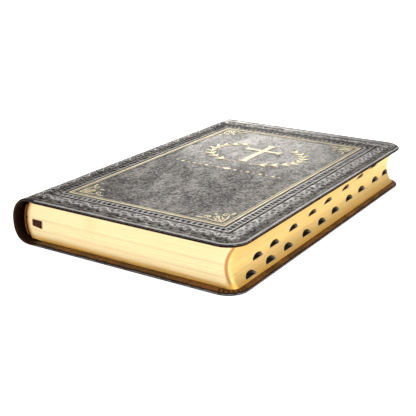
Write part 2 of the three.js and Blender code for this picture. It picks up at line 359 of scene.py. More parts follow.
def page_material(name, printed=True):
    """Gilt on the cut edges, black inside the thumb cuts with painted shade on their walls and a painted
    highlight near their opening, and paper on the faces of the leaves.
    """
    level = 0.97
    n = Nodes(name)
    x, y, z = n.split(n.coords.outputs["Object"])
    _, ny, nz = (n.math("ABSOLUTE", s) for s in n.split(n.coords.outputs["Normal"]))
    leaves = n.noise(1.0, 4, (60, 60, 9000))
    streaks = n.noise(1.0, 3, (25, 25, 1400))
    depth = fore_depth(n, x, z)

    in_cut = n.math("LESS_THAN", nz, level)
    for value, start, end in ((depth, CUT_START, CUT_END), (y, CUTS_TAIL_Y, CUTS_HEAD_Y)):
        in_cut = n.math("MULTIPLY", in_cut, n.math("GREATER_THAN", value, start * MM))
        in_cut = n.math("MULTIPLY", in_cut, n.math("LESS_THAN", value, end * MM))
    # Black lining of the thumb cuts, with painted shade on their walls and a grey painted highlight near the
    # opening.
    cut_black_and_shade = n.mix(n.ramp(leaves, 0.45, 0.7, 0, 0.5), (0.006, 0.005, 0.004), (0.035, 0.030, 0.024))
    rim = n.math("MULTIPLY", n.ramp(ny, 0.45, 0.95), n.ramp(depth, 2.6 * MM, 0.3 * MM))
    cut_black_and_shade = n.mix(rim, cut_black_and_shade, (0.42, 0.37, 0.25))

    flat = n.math("GREATER_THAN", nz, level)
    face = printed_paper(n, x, y) if printed else (0.83, 0.78, 0.66)
    color = n.mix(flat, gilt(n, x, y, z, ny, depth, streaks), face)
    color = n.mix(in_cut, color, cut_black_and_shade)
    gilded = n.math("MULTIPLY", n.math("SUBTRACT", 1.0, flat), n.math("SUBTRACT", 1.0, in_cut))
    normal = n.bump(streaks, 0.0005, 0.4, n.bump(leaves, 0.00012, 0.55))
    rough = n.mix(gilded, (0.75,) * 3, n.mix(leaves, (0.36,) * 3, (0.52,) * 3))
    n.set(Base_Color=color, Metallic=n.math("MULTIPLY", gilded, 0.6), Roughness=rough, Normal=normal)
    return n.material


def endpaper_material():
    """Cream paper with long fibres."""
    n = Nodes("endpaper")
    fibre = n.noise(700, 5, (1, 3, 1))
    tone = n.mix(n.ramp(fibre, 0.35, 0.65), (0.74, 0.67, 0.53), (0.84, 0.79, 0.67))
    n.set(Base_Color=tone, Roughness=n.ramp(fibre, 0.3, 0.7, 0.7, 0.85),
          Normal=n.bump(fibre, 0.00005, 0.6))
    return n.material


def foil_material():
    """Stamped gold foil, rubbed thin in places."""
    n = Nodes("gold_foil")
    rub = n.noise(420, 5)
    speck = n.noise(2500, 3)
    tone = n.mix(n.ramp(rub, 0.4, 0.68), (1.0, 0.90, 0.60), (0.90, 0.75, 0.44))
    tone = n.mix(n.ramp(speck, 0.66, 0.74, 0, 0.6), tone, (0.16, 0.11, 0.07))
    n.set(Base_Color=tone, Metallic=n.ramp(rub, 0.3, 0.8, 0.45, 0.3),
          Roughness=n.ramp(speck, 0.3, 0.7, 0.3, 0.45), Normal=n.bump(speck, 0.00005, 0.6))
    return n.material


def woven_material(name, dark, light, across, along, rough, sheen):
    """Plain weave, with threads every 1 / across and 1 / along metres."""
    n = Nodes(name)
    x, y, z = n.split(n.coords.outputs["Object"])
    warp = n.math("SINE", n.math("MULTIPLY", x, across * math.tau))
    weft = n.math("SINE", n.math("MULTIPLY", n.math("ADD", y, z), along * math.tau))
    weave = n.math("ADD", n.math("MULTIPLY", n.math("MULTIPLY", warp, weft), 0.25), 0.5)
    tone = n.mix(n.ramp(weave, 0.3, 0.7), dark, light)
    tone = n.mix(n.ramp(n.noise(500, 4), 0.45, 0.7, 0, 0.4), tone, dark)
    n.set(Base_Color=tone, Roughness=n.ramp(weave, 0.3, 0.7, rough[1], rough[0]), Sheen_Weight=sheen,
          Specular_IOR_Level=0.15, Normal=n.bump(weave, 0.00008, 0.8))
    return n.material


def fibre_material(name, dark, light, rough):
    """Board or tab paper: pressed fibres with small specks."""
    n = Nodes(name)
    fibre = n.noise(900, 6, (1, 2.5, 1))
    speck = n.noise(3000, 2)
    tone = n.mix(n.ramp(fibre, 0.35, 0.65), dark, light)
    n.set(Base_Color=tone, Roughness=n.ramp(speck, 0.3, 0.7, rough - 0.08, rough + 0.08),
          Normal=n.bump(fibre, 0.0001, 0.5))
    return n.material


LEATHER = leather_material()
LINING = lining_material("turned_in_leather", (0.050, 0.019, 0.005), (0.170, 0.062, 0.015), 0.5, 0.9)
# Near black inside the spine: dark leather, darkened further as painted shade in the spine's hollow.
SHADED_SPINE_LINING = lining_material("spine_lining_leather_and_shade", (0.008, 0.004, 0.003), (0.024, 0.010, 0.006),
                               0.2, 0)
EDGE_DYE_AND_SHADE = edge_dye_and_shade_material()
PAGES = page_material("gilt_pages")
FLYLEAF = page_material("gilt_flyleaf", printed=False)
ENDPAPER = endpaper_material()
FOIL = foil_material()
RIBBON = woven_material("ribbon_satin", (0.016, 0.002, 0.001), (0.092, 0.015, 0.004),
                        3200, 1500, (0.55, 0.75), 0.0)
CLOTH = woven_material("binding_cloth", (0.020, 0.009, 0.005), (0.075, 0.035, 0.018),
                       1500, 1500, (0.6, 0.8), 0.2)
BAND = woven_material("band_thread", (0.060, 0.020, 0.006), (0.190, 0.066, 0.018),
                      900, 1100, (0.6, 0.8), 0.0)
BOARD = fibre_material("grey_board", (0.13, 0.11, 0.09), (0.24, 0.21, 0.17), 0.85)
TAB = fibre_material("tab_paper", (0.006, 0.005, 0.005), (0.022, 0.019, 0.016), 0.5)


# ---------------------------------------------------------------- mesh helpers


def add_mesh(name, points, faces, body, materials, smooth=True, relief_shade_and_highlight=None, indices=None):
    """Makes a piece from points in millimetres. It rides on a body when one is given."""
    mesh = bpy.data.meshes.new(name)
    mesh.from_pydata((np.asarray(points, float) * MM).tolist(), [], faces)
    if relief_shade_and_highlight is not None:
        values = mesh.attributes.new("relief_shade_and_highlight", "FLOAT", "POINT").data
        values.foreach_set("value", np.asarray(relief_shade_and_highlight, np.float32))
    for material in materials:
        mesh.materials.append(material)
    if indices is not None:
        mesh.polygons.foreach_set("material_index", np.asarray(indices, np.int32))
    mesh.polygons.foreach_set("use_smooth", [smooth] * len(mesh.polygons))
    mesh.update()
    piece = bpy.data.objects.new(name, mesh)
    bpy.context.collection.objects.link(piece)
    if body:
        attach(piece, body)
    return piece


def grid_faces(rows, columns, offset=0, close_rows=False, close_columns=False):
    """Quads of a grid of points numbered row by row."""
    faces = []
    for i in range(rows if close_rows else rows - 1):
        below = (i + 1) % rows
        for j in range(columns if close_columns else columns - 1):
            right = (j + 1) % columns
            faces.append((offset + i * columns + j, offset + i * columns + right,
                          offset + below * columns + right, offset + below * columns + j))
    return faces


def smooth_by_angle(piece, degrees=35):
    """Marks edges sharper than the angle, so that flat faces stay flat and round ones smooth."""
    with bpy.context.temp_override(object=piece, active_object=piece, selected_objects=[piece],
                                   selected_editable_objects=[piece]):
        bpy.ops.object.shade_smooth_by_angle(angle=math.radians(degrees))


# ---------------------------------------------------------------- cover tooling


def ridge(value, centre, width):
    return np.exp(-(((value - centre) / width) ** 2))


def border_coordinates(x, y):
    """Distance outside the gold frame, and distance along the side that a point is nearest to."""
    dx = np.abs(x - FRAME_CENTRE[0]) - FRAME_HALF[0]
    dy = np.abs(y - FRAME_CENTRE[1]) - FRAME_HALF[1]
    along = np.where(dx > dy, y - FRAME_CENTRE[1], x - FRAME_CENTRE[0])
    return np.maximum(dx, dy), along


def edge_distance(x, y):
    """Distance inside the cover's rounded outline, ignoring its hinge side."""
    dx = x - (FORE - CORNER_R)
    dy = np.abs(y) - (HALF_H - CORNER_R)
    corner = CORNER_R - np.hypot(np.maximum(dx, 0), np.maximum(dy, 0))
    return np.where((dx > 0) & (dy > 0), corner, np.minimum(CORNER_R - dx, CORNER_R - dy))


def leaf_scroll(out, along):
    """An embossed vine of curled leaves: a wave with a spiral rosette in each of its bends."""
    v = (out - VINE) / VINE_HALF
    phase = along / VINE_PERIOD
    vine = ridge(v, 0.55 * np.sin(math.tau * phase), 0.17)
    bend = np.floor(phase * 2) + 0.5
    side = np.where(np.mod(np.floor(phase * 2), 2) == 0, -1.0, 1.0)
    ds = along - bend * VINE_PERIOD / 2
    dv = (v - side * 0.32) * VINE_HALF
    radius = np.hypot(ds, dv)
    turn = np.arctan2(dv, ds) * side
    arms = np.cos(3 * turn - 2.3 * radius)
    rosette = np.clip(arms, 0, 1) * np.clip(1.25 - radius / 3.0, 0, 1)
    eye = ridge(radius, 0, 0.7)
    inside = np.clip((1.12 - np.abs(v)) / 0.12, 0, 1)
    return inside * np.clip(vine + rosette * 1.3 + eye, 0, 1.2)


def dashes(along, pitch, share):
    """1 on each dash of a dashed line and 0 between, with soft ends."""
    place = np.abs(np.mod(along / pitch, 1) - 0.5) * 2
    return np.clip((share - place) / 0.25, 0, 1)


def tooling(x, y):
    """Relief of the front cover as (height in mm, tone from -1 in pits to 1 on ridges). The tone is painted
    shade in pits and grooves and painted highlight on ridges, cords and rim.
    """
    out, along = border_coordinates(x, y)
    edge = edge_distance(x, y)
    scroll = leaf_scroll(out, along)
    bed = np.clip((VINE_BED_HALF - np.abs(out - VINE)) / 0.4, 0, 1)
    outline = bed * ridge(scroll, 0.36, 0.17)
    row = np.clip((PIT_ROW_HALF - np.abs(out - PIT_ROW)) / 0.4, 0, 1)
    pits = row * dashes(along, PIT_PITCH, 0.64)
    dots = np.clip((DOT_ROW_HALF - np.abs(out - DOT_ROW)) / 0.3, 0, 1)
    pits = pits + dashes(along, DOT_PITCH, 0.28) * dots
    lines = ridge(out, FRAME_GROOVE, 0.45) + ridge(out, ROW_GROOVE, 0.5)
    lines = lines + 0.35 * ridge(out, OUTER_GROOVE, 0.45)
    cords = ridge(out, INNER_CORD, 0.5) + ridge(out, OUTER_CORD, 0.5) + 0.6 * ridge(out, VINE_CORD, 0.4)
    rim = ridge(edge, EDGE_CORD, 0.55) + 0.5 * ridge(edge, SECOND_CORD, 0.5)
    keep = np.clip((edge - PLAIN_EDGE) / 0.6, 0, 1)
    field = np.clip((out - 0.35) / 0.4, 0, 1)
    height = 0.44 * scroll - 0.2 * outline - 0.5 * pits - 0.3 * lines + 0.18 * cords
    height = keep * field * height - 0.2 * ridge(edge, EDGE_GROOVE, 0.45) + 0.06 * rim
    # Painted shade in the vine's outline, the pits, the grooves and the edge groove. Painted highlights on
    # the vine, the cords, the gaps between pits and the rim.
    tone = 2.3 * scroll + 0.15 * bed - 2.1 * outline + 0.5 * row - 2.6 * pits - 1.2 * lines + 0.8 * cords
    tone = keep * field * (tone + 0.15) - 0.4 * ridge(edge, EDGE_GROOVE, 0.5) + 0.7 * rim
    # Painted shade beside the spine, at the head and over the panel towards the tail. A painted highlight in
    # a strip along the head edge.
    spine_and_head_shade = np.maximum(np.clip((DARK_SPINE_X - x) / 3, 0, 1), np.clip((y - DARK_HEAD_Y) / 3, 0, 1))
    tone = tone - 0.3 * spine_and_head_shade + 0.55 * np.clip((y - LIGHT_HEAD_Y) / 2, 0, 1)
    tone = tone - 0.2 * np.clip(-out / 2, 0, 1) * np.clip((PANEL_DARK_FROM - y) / PANEL_DARK_RUN, 0, 1)
    wear = 0.03 * np.sin(x * 0.31 + 1.7 * np.sin(y * 0.083)) * np.sin(y * 0.22 + 1.3 * np.sin(x * 0.11))
    return height + wear * np.clip(np.abs(out + 0.7) - 1, 0, 1) * keep, np.clip(tone, -1, 1)


def plain_tooling(x, y):
    """Relief of the back cover: one blind line inside the stitched edge. Its tone is painted shade in the
    lines and in the stitch groove, with dark thread on the stitches.
    """
    out, _ = border_coordinates(x, y)
    edge = edge_distance(x, y)
    stitch_run = np.where(np.abs(y) > np.abs(x) + 40, x, y)
    stitch = ridge(edge, 2.4, 0.38) * (0.35 + 0.65 * dashes(stitch_run, STITCH_PITCH, 0.7))
    line = ridge(out, 7.6, 0.42) + ridge(out, 1.5, 0.35)
    return -0.15 * line - 0.2 * stitch, np.clip(-0.7 * line - stitch, -1, 1)


# ---------------------------------------------------------------- covers


def rounded_corner_points(u, v, x1, half, radius):
    """Moves a rectangular grid's points so that its two fore corners become quarter circles."""
    x, y = np.meshgrid(u, v, indexing="ij")
    a = (x - (x1 - radius)) / radius
    b = (np.abs(y) - (half - radius)) / radius
    corner = (a > 0) & (b > 0)
    a_in, b_in = np.where(corner, a, 1.0), np.where(corner, b, 0.0)
    reach = np.maximum(a_in, b_in)
    turn = np.where(a_in >= b_in, math.pi / 4 * b_in / np.maximum(a_in, 1e-9),
                    math.pi / 2 - math.pi / 4 * a_in / np.maximum(b_in, 1e-9))
    cx, cy = x1 - radius, half - radius
    x = np.where(corner, cx + radius * reach * np.cos(turn), x)
    y = np.where(corner, np.sign(y) * (cy + radius * reach * np.sin(turn)), y)
    return x, y


def even_steps(low, high, step):
    return np.linspace(low, high, max(2, int(round((high - low) / step)) + 1))


def window_point(x, y, x0, x1, half, margin, radius):
    """The point on the turn-in's window that belongs to a point on the cover's outline."""
    cx, cy = FORE - CORNER_R, HALF_H - CORNER_R
    wx1, wh = FORE - margin, HALF_H - margin
    if x > cx and abs(y) > cy:
        away = np.array([x - cx, abs(y) - cy])
        away = away / np.linalg.norm(away) * radius
        return wx1 - radius + away[0], math.copysign(wh - radius + away[1], y)
    wx0 = COVER_LOW[0] + margin
    across = (min(x, cx) - x0) / (cx - x0)
    up = min(abs(y), cy) / cy
    inner_x = wx0 + across * (wx1 - radius - wx0) if x < x1 - 1e-6 else wx1
    inner_y = math.copysign(up * (wh - radius), y) if abs(y) < half - 1e-6 else math.copysign(wh, y)
    if x <= x0 + 1e-6:
        inner_x, inner_y = wx0, y / half * wh
    return inner_x, inner_y


def make_cover(side, body, outer_z, out_sign, relief_of):
    """One cover skin: tooled face, rolled edge with its seam, and the turn-in round the pastedown."""
    x0, x1, half = STRIP_X, FORE - EDGE_R, HALF_H - EDGE_R
    u = even_steps(x0, x1, GRID)
    v = even_steps(-half, half, GRID)
    x, y = rounded_corner_points(u, v, x1, half, CORNER_R - EDGE_R)
    height, tone = relief_of(x, y)
    points = [np.stack([x, y, outer_z + out_sign * height], -1).reshape(-1, 3)]
    relief_shade_and_highlight = [tone.ravel()]
    columns = len(v)
    faces = grid_faces(len(u), columns)
    kinds = [SKIN] * len(faces)

    loop = [(i, 0) for i in range(len(u))]
    loop += [(len(u) - 1, j) for j in range(1, columns)]
    loop += [(i, columns - 1) for i in range(len(u) - 2, -1, -1)]
    loop += [(0, j) for j in range(columns - 2, 0, -1)]
    ring = np.array([i * columns + j for i, j in loop])
    rx, ry = x.ravel()[ring], y.ravel()[ring]
    away = np.zeros((len(ring), 2))
    cx, cy = x1 - (CORNER_R - EDGE_R), half - (CORNER_R - EDGE_R)
    away[:, 0] = np.where(rx > cx, np.where(np.abs(ry) > cy, rx - cx, 1), 0)
    away[:, 1] = np.where(np.abs(ry) > cy, np.sign(ry) * np.where(rx > cx, np.abs(ry) - cy, 1), 0)
    away[(np.abs(ry) < half - 1e-6) & (rx < cx)] = 0
    away /= np.maximum(np.linalg.norm(away, axis=1, keepdims=True), 1e-9)

    mid_z = outer_z - out_sign * EDGE_R
    previous = ring
    count = len(points[0])

    def add_ring(ring_points, tone_value, kind):
        nonlocal previous, count
        points.append(ring_points)
        relief_shade_and_highlight.append(np.full(len(ring_points), 1.0) * tone_value)
        current = count + np.arange(len(ring_points))
        for k in range(len(current)):
            following = (k + 1) % len(current)
            faces.append((previous[k], previous[following], current[following], current[k]))
            kinds.append(kind)
        previous = current
        count += len(ring_points)

    thread = dashes(np.where(np.abs(ry) > np.abs(rx) + 40, rx, ry), STITCH_PITCH, 0.8)
    round_corner = np.arctan2(np.maximum(np.abs(ry) - cy, 0), np.maximum(rx - cx, 0))
    gather = np.where((rx > cx) & (np.abs(ry) > cy), np.sin(GATHERS * 2 * round_corner) ** 4, 0)
    for turn in EDGE_TURNS:
        seam = SEAM_DEPTH * ridge(turn, SEAM_TURN, SEAM_SPREAD)
        reach = EDGE_R * math.cos(turn) - seam
        level = np.full(len(ring), mid_z + out_sign * EDGE_R * math.sin(turn))
        if turn < TURN_IN_START:
            level += out_sign * GATHER_DEPTH * gather
        ring_points = np.column_stack([rx + away[:, 0] * reach, ry + away[:, 1] * reach, level])
        in_seam = abs(turn - SEAM_TURN) < SEAM_HALF_WIDTH
        # Tone of the rolled edge: painted shade in the seam, darkest on the stitch thread, and painted
        # highlights on the beads above and below it.
        tone_value = -0.45 - 0.55 * thread if in_seam else (0.6 if turn > SEAM_TURN else 0.7)
        # Painted shade in the gathers of the turn-in round the corners.
        if turn < TURN_IN_START:
            tone_value = -gather
        # Near black on the lower part of the edge, where it is in shade: edge dye and painted shade. The back
        # cover keeps a thin band of plain leather, toned darker, between its dyed parts.
        if out_sign > 0:
            kind = DYE_AND_SHADE if turn < DYE_AND_SHADE_START else SKIN
        else:
            kind = TURN_IN if turn < TURN_IN_START else DYE_AND_SHADE
            if LEATHER_LINE_FROM < turn < LEATHER_LINE_TO:
                kind, tone_value = SKIN, LEATHER_LINE_TONE
        add_ring(ring_points, tone_value, kind)
    inner_z = outer_z - out_sign * COVER_T
    for from_step, depth in ((STEP_BEVEL, 0), (0, 0), (0, STEP_DEPTH)):
        inner = np.array([window_point(a, b, x0, x1, half, TURN_IN_WIDTH - from_step, WINDOW_R + from_step)
                          for a, b in zip(rx, ry)])
        add_ring(np.column_stack([inner, np.full(len(ring), inner_z + out_sign * depth)]), 0, TURN_IN)
    faces.append(tuple(previous))
    kinds.append(TURN_IN)
    if out_sign < 0:
        faces = [tuple(reversed(face)) for face in faces]
    name = f"{side}_cover_skin"
    piece = add_mesh(name, np.concatenate(points), faces, body,
                     [LEATHER, LINING, EDGE_DYE_AND_SHADE], relief_shade_and_highlight=np.concatenate(relief_shade_and_highlight), indices=kinds)
    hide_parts(f"{side}_cover_leather")
    return piece


make_cover("front", "front_cover", TOP, 1, tooling)
make_cover("back", "back_cover", LOW[2], -1, plain_tooling)


# ---------------------------------------------------------------- spine and hinge strips


def spine_path(steps=44):
    """The outside of the rounded spine from its front edge to its back edge, with its normals."""
    points, normals = [], []
    middle, half = (TOP + LOW[2]) / 2, (TOP - LOW[2]) / 2
    reach = SPINE_X - LOW[0]
    for i in range(steps + 1):
        angle = math.pi / 2 - math.pi * i / steps
        exponent = FRONT_POWER if angle > 0 else BACK_POWER
        power = 2 / exponent
        across = max(0.0, math.cos(angle)) ** power
        up = math.copysign(abs(math.sin(angle)) ** power, math.sin(angle))
        points.append((SPINE_X - reach * across, middle + half * up))
        steepness = math.copysign(abs(up) ** (exponent - 1), up) / half
        gradient = np.array([-(across ** (exponent - 1)) / reach, steepness])
        normals.append(gradient / np.linalg.norm(gradient))
    return np.array(points), np.array(normals)


def make_strip(name, path, normals, thickness, relief_of, replaced=()):
    """A strip of leather along a path in the XZ plane, with rolled ends at head and tail."""
    thickness = np.broadcast_to(thickness, len(path))
    flat = even_steps(-HALF_H + EDGE_R, HALF_H - EDGE_R, GRID)
    turns = np.radians(np.linspace(72, -72, 9))
    round_y, round_t = np.cos(turns), (1 - np.sin(turns)) / 2
    run = [(value, 0.0, 0) for value in flat]
    run += [(flat[-1] + EDGE_R * c, t, 1) for c, t in zip(round_y, round_t)]
    run += [(value, 1.0, 2) for value in flat[::-1][:: 12]]
    run += [(flat[0] - EDGE_R * c, t, 1) for c, t in zip(round_y[::-1], round_t[::-1])]
    ys = np.array([r[0] for r in run])
    depth = np.array([r[1] for r in run])
    outer = np.array([r[2] for r in run]) == 0
    points, relief_shade_and_highlight = [], []
    for (px, pz), (nx, nz), t in zip(path, normals, thickness):
        height, tone = relief_of(np.full(len(ys), px), ys, pz)
        lift = np.where(outer, height, 0) - depth * t
        points.append(np.column_stack([px + nx * lift, ys, pz + nz * lift]))
        # Painted shade: the rolled ends and the inner side get a low tone, near black on the rolled leather
        # ends.
        relief_shade_and_highlight.append(np.where(outer, tone, -0.75))
    rows, columns = len(path), len(ys)
    faces = grid_faces(rows, columns, close_columns=True)
    kinds = [0 if depth[(k % columns)] < 0.6 else 1 for k in range(len(faces))]
    faces.append(tuple(range(columns - 1, -1, -1)))
    faces.append(tuple((rows - 1) * columns + j for j in range(columns)))
    kinds += [1, 1]
    piece = add_mesh(name, np.concatenate(points), faces, None, [LEATHER, SHADED_SPINE_LINING],
                     relief_shade_and_highlight=np.concatenate(relief_shade_and_highlight), indices=kinds)
    if replaced:
        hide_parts(*replaced)
    return piece


def front_relief(x, y, z):
    height, tone = tooling(x, y)
    fade = np.clip((z - 0.72 * TOP) / (0.2 * TOP), 0, 1)
    return height * fade, tone * fade


def back_relief(x, y, z):
    return plain_tooling(x, y)


def spine_relief(x, y, z):
    """The cover's tooling fades out round the curve. Five pairs of blind lines cross the spine."""
    if z > TOP / 2:
        height, tone = front_relief(x, y, z)
    else:
        height, tone = np.zeros(len(y)), np.zeros(len(y))
    bands = sum(ridge(np.abs(y), place, 0.45) for place in (100.5, 60, 57.6, 20, 17.6))
    # Painted shade in the blind lines and, lighter, over the whole outer side of the spine.
    side = np.clip((SPINE_X - 3.5 - x) / 2, 0, 1)
    return height - 0.2 * bands * side, np.clip(tone - (0.14 + 0.7 * bands) * side, -1, 1)


def bend_with_halves(piece):
    """Bakes the piece's placement into its mesh."""
    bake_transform(piece)


def make_spine():
    path, normals = spine_path()
    spine = make_strip("spine_skin", path, normals, SPINE_T, spine_relief, ("spine_leather",))
    bend_with_halves(spine)

    steps = 12
    xs = np.linspace(STRIP_X, SPINE_X, steps)
    thick = np.linspace(COVER_T, SPINE_T, steps)
    front = make_strip("front_hinge_skin", np.column_stack([xs, np.full(steps, TOP)]),
                       [(0, 1)] * steps, thick, front_relief)
    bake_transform(front)
    back = make_strip("back_hinge_skin", np.column_stack([xs[::-1], np.full(steps, LOW[2])]),
                      [(0, -1)] * steps, thick[::-1], back_relief)
    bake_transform(back)


make_spine()


def back_x(z):
    return BACK_X + BACK_ROUNDING * abs((z - BLOCK_MID_Z) / BLOCK_HALF_T) ** ROUNDING_POWER


def make_inner_strip(name, node, path_at, steps, thickness, y_margin, material):
    """A thin curved strip that lines the spine or the pages' back, over the CAD node's own length."""
    low, high = box_mm(node)
    zs = np.linspace(low[2], high[2], steps)
    near = np.array([(path_at(z), z) for z in zs])
    slope = np.gradient(near, axis=0)
    normals = np.column_stack([-slope[:, 1], slope[:, 0]])
    normals /= np.linalg.norm(normals, axis=1, keepdims=True)
    points = []
    ys = (low[1] + y_margin, high[1] - y_margin)
    for (px, pz), (nx, nz) in zip(near, normals):
        far = (px + nx * thickness, pz + nz * thickness)
        points += [(px, ys[0], pz), (px, ys[1], pz), (far[0], ys[1], far[1]), (far[0], ys[0], far[1])]
    faces = grid_faces(steps, 4, close_columns=True)
    faces += [(3, 2, 1, 0), tuple(4 * (steps - 1) + k for k in range(4))]
    piece = add_mesh(name, points, faces, None, [material], smooth=False)
    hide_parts(node)
    bend_with_halves(piece)
    smooth_by_angle(piece)
    return piece


def inlay_x(z):
    """The inside of the spine skin."""
    low, high = box_mm("spine_inlay")
    middle, half = (low[2] + high[2]) / 2, (high[2] - low[2]) / 2
    t = min(1.0, abs((z - middle) / half))
    exponent = FRONT_POWER if z > middle else BACK_POWER
    reach = high[0] - low[0] - 0.4
    return high[0] - 0.1 - reach * max(0.0, 1 - t**exponent) ** (1 / exponent)


make_inner_strip("spine_card", "spine_inlay", inlay_x, 40, 0.35, 0, SHADED_SPINE_LINING)
make_inner_strip("spine_cloth", "spine_mesh", lambda z: back_x(z) - 0.15, 16, 0.22, 0, CLOTH)
make_inner_strip("spine_paper", "spine_lining", lambda z: back_x(z) - 0.5, 16, 0.28, 0, BOARD)


def make_band(node, name):
    """A head or tail band: a roll of wound thread that follows the pages' back."""
    low, high = box_mm(node)
    middle_y = (low[1] + high[1]) / 2
    radius = (high[1] - low[1]) / 2 * 0.96
    steps, sides = 150, 12
    points = []
    for i in range(steps):
        z = low[2] + radius + (high[2] - low[2] - 2 * radius) * i / (steps - 1)
        wound = radius * (0.86 + 0.14 * abs(math.sin(i * math.pi / 5)))
        for k in range(sides):
            turn = math.tau * k / sides
            points.append((back_x(z) - 0.25 + wound * math.cos(turn), middle_y + wound * math.sin(turn), z))
    faces = grid_faces(steps, sides, close_columns=True)
    faces += [tuple(range(sides - 1, -1, -1)), tuple((steps - 1) * sides + k for k in range(sides))]
    piece = add_mesh(name, points, faces, None, [BAND])
    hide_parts(node)
    bend_with_halves(piece)


make_band("head_band", "head_band_roll")
make_band("tail_band", "tail_band_roll")


# ---------------------------------------------------------------- gold foil


def stroke(points, start_width, end_width, bulge=0.0):
    """A flat ribbon along points, as quads. Its width runs between two values, with a bulge between."""
    line = np.array(points, float)
    slope = np.gradient(line, axis=0)
    slope /= np.maximum(np.linalg.norm(slope, axis=1, keepdims=True), 1e-9)
    t = np.linspace(0, 1, len(line))
    half = (start_width * (1 - t) + end_width * t + bulge * np.sin(math.pi * t)) / 2
    across = np.column_stack([-slope[:, 1], slope[:, 0]]) * half[:, None]
    return np.stack([line + across, line - across], 1)


def curl(cx, cy, radius, start, turns, inner=0.15, steps=30):
    """Points of a spiral that winds in to its centre. Angles are in degrees."""
    t = np.linspace(0, 1, steps)
    angle = np.radians(start) + turns * math.tau * t
    r = radius * (1 - (1 - inner) * t)
    return np.column_stack([cx + r * np.cos(angle), cy + r * np.sin(angle)])


def bow(p0, p1, p2, steps=16):
    """A curve from p0 to p2 that bends towards p1."""
    t = np.linspace(0, 1, steps)[:, None]
    return (1 - t) ** 2 * np.array(p0) + 2 * t * (1 - t) * np.array(p1) + t**2 * np.array(p2)


def corner_ornament():
    """Scrolls and leaves in a frame corner, which lies at the origin and opens towards +X and +Y."""
    half = [
        stroke(bow((2.0, 2.0), (8.5, 1.4), (13.5, 4.2)), 0.5, 0.3, 0.5),
        stroke(curl(12.2, 5.6, 2.0, -60, 1.15), 0.3, 0.5, 0.35),
        stroke(bow((3.0, 3.4), (7.5, 3.0), (9.2, 6.6)), 0.3, 0.2, 0.6),
        stroke(curl(7.6, 7.0, 1.6, -20, 1.0), 0.25, 0.45, 0.3),
        stroke(bow((13.0, 3.4), (15.5, 2.4), (18.0, 3.0), 8), 0.2, 0.1, 1.1),
        stroke(bow((6.0, 2.4), (7.2, 4.4), (6.8, 5.2), 8), 0.2, 0.1, 0.8),
    ]
    swapped = [part[:, :, ::-1] for part in half]
    diagonal = [stroke(bow((1.6, 1.6), (5, 5), (9.6, 9.6)), 0.3, 0.1, 0.8),
                stroke(bow((9.8, 9.8), (10.8, 10.8), (11.8, 11.8), 8), 0.1, 0.1, 1.3)]
    return half + swapped + diagonal


def leafy_branch():
    """Half of a laurel wreath, from its foot at the bottom to its tip, on the +X side."""
    angles = np.radians(np.linspace(-78, 62, 40))
    stem = np.column_stack([WREATH_RX * np.cos(angles), WREATH_RY * np.sin(angles)])
    parts = [stroke(stem, 0.9, 0.35)]
    for i in range(3, 38, 4):
        tangent = stem[i + 1] - stem[i]
        heading = math.atan2(tangent[1], tangent[0])
        for side, length in ((1, 6.4), (-1, 6.8)):
            direction = heading + side * 0.66
            tip = stem[i] + length * np.array([math.cos(direction), math.sin(direction)])
            bend = heading + side * 0.2
            control = stem[i] + 0.6 * length * np.array([math.cos(bend), math.sin(bend)])
            parts.append(stroke(bow(stem[i], control, tip, 10), 0.25, 0.1, 1.9))
    return parts


def cross_parts():
    """A plain Latin cross with flared ends."""
    parts = [
        stroke([(0, -19), (0, -17.6), (0, -15), (0, 17), (0, 19.5), (0, 21)], 7.0, 7.0, 0),
        stroke([(-12.5, 8), (-11.2, 8), (-9.0, 8), (9.0, 8), (11.2, 8), (12.5, 8)], 6.2, 6.2, 0),
    ]
    flare = (1.0, 0.74, 0.5, 0.5, 0.74, 1.0)
    for part in parts:
        centre = part.mean(1, keepdims=True)
        part[:] = centre + (part - centre) * np.array(flare)[:, None, None]
    return parts


def diamond(cx, cy, rx, ry):
    return stroke([(cx - rx, cy), (cx, cy), (cx + rx, cy)], 0.02, 0.02, 2 * ry)


def divider():
    """A row of lozenges and dots under the wreath."""
    parts = [diamond(0, 0, 3.2, 2.0)]
    for i in range(1, 9):
        size = 1.25 if i % 2 else 0.75
        parts += [diamond(side * (1.6 + 4.3 * i), 0, size * 1.15, size) for side in (-1, 1)]
    return parts


def ring_line(half_x, half_y, width):
    """A rectangular line of the gold frame, as four straight mitred strips."""
    parts = []
    corners = [(-1, -1), (1, -1), (1, 1), (-1, 1)]
    for k in range(4):
        (ax, ay), (bx, by) = corners[k], corners[(k + 1) % 4]
        outer = [(ax * half_x, ay * half_y), (bx * half_x, by * half_y)]
        inner = [(ax * (half_x - width), ay * (half_y - width)),
                 (bx * (half_x - width), by * (half_y - width))]
        t = np.linspace(0, 1, 60)[:, None]
        line_out = np.array(outer[0]) * (1 - t) + np.array(outer[1]) * t
        line_in = np.array(inner[0]) * (1 - t) + np.array(inner[1]) * t
        parts.append(np.stack([line_in, line_out], 1))
    return parts


def moved(parts, shift=(0, 0), flip=(1, 1)):
    turned = [part * np.array(flip) + np.array(shift) for part in parts]
    return [part[:, ::-1] for part in turned] if flip[0] * flip[1] < 0 else turned


def foil_sheet(name, parts):
    """Foil strips as thin closed solids, sunk a little in the leather. Crossing strips differ in height."""
    points, faces = [], []
    for k, part in enumerate(parts):
        rows, start = len(part), len(points)
        top = TOP + FOIL_T + FOIL_STEP * (k % FOIL_LEVELS)
        for left, right in part:
            for (px, py), z in ((left, top), (right, top),
                                (right, TOP - FOIL_SINK), (left, TOP - FOIL_SINK)):
                points.append((px, py, z))
        faces += [tuple(reversed(f)) for f in grid_faces(rows, 4, start, close_columns=True)]
        faces += [(start, start + 1, start + 2, start + 3)]
        last = start + 4 * (rows - 1)
        faces += [(last + 3, last + 2, last + 1, last)]
    return add_mesh(name, points, faces, "front_cover", [FOIL], smooth=False)


